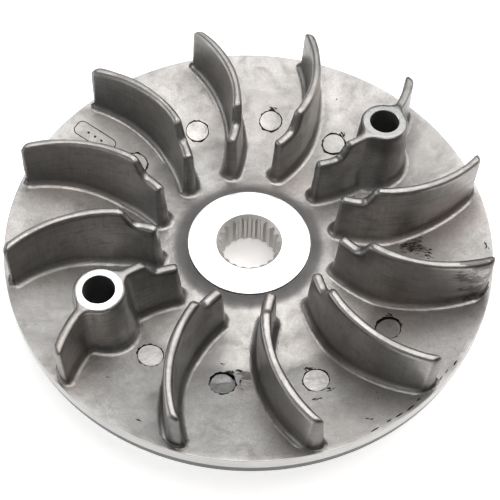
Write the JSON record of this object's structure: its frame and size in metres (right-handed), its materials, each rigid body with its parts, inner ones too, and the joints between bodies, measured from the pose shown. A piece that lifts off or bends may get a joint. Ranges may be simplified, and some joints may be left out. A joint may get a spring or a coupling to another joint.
{
  "type": "drive face fan",
  "caption": "Cast disc with a splined hub and curved cooling vanes on one side, a conical belt face on the other, and two bosses with blind holes.",
  "frame": {"origin": "centre of the hub's back face, on the crankshaft's axis; the part rests on that face", "axes": "+Z along the crankshaft's axis towards the vanes; +X and +Y in the plane of the disc, with the tool bosses 38 and 218 degrees round from +X"},
  "size_m": [0.13, 0.13, 0.0302],
  "materials": {
    "casting": "as-cast die-cast aluminium, satin, mottled",
    "hub": "turned and broached, bright",
    "boss": "as-cast sides with a machined top face"
  },
  "bodies": {
    "root": {"drive_face_disc": "casting", "splined_hub": "hub", "tool_boss_1": "boss", "tool_boss_2": "boss", "fan_vane_01": "casting", "fan_vane_02": "casting", "fan_vane_03": "casting", "fan_vane_04": "casting", "fan_vane_05": "casting", "fan_vane_06": "casting", "fan_vane_07": "casting", "fan_vane_08": "casting", "fan_vane_09": "casting", "fan_vane_10": "casting", "boss_inner_vane_1": "casting", "boss_inner_vane_2": "casting", "boss_outer_vane_1": "casting", "boss_outer_vane_2": "casting"}
  },
  "joints": []
}
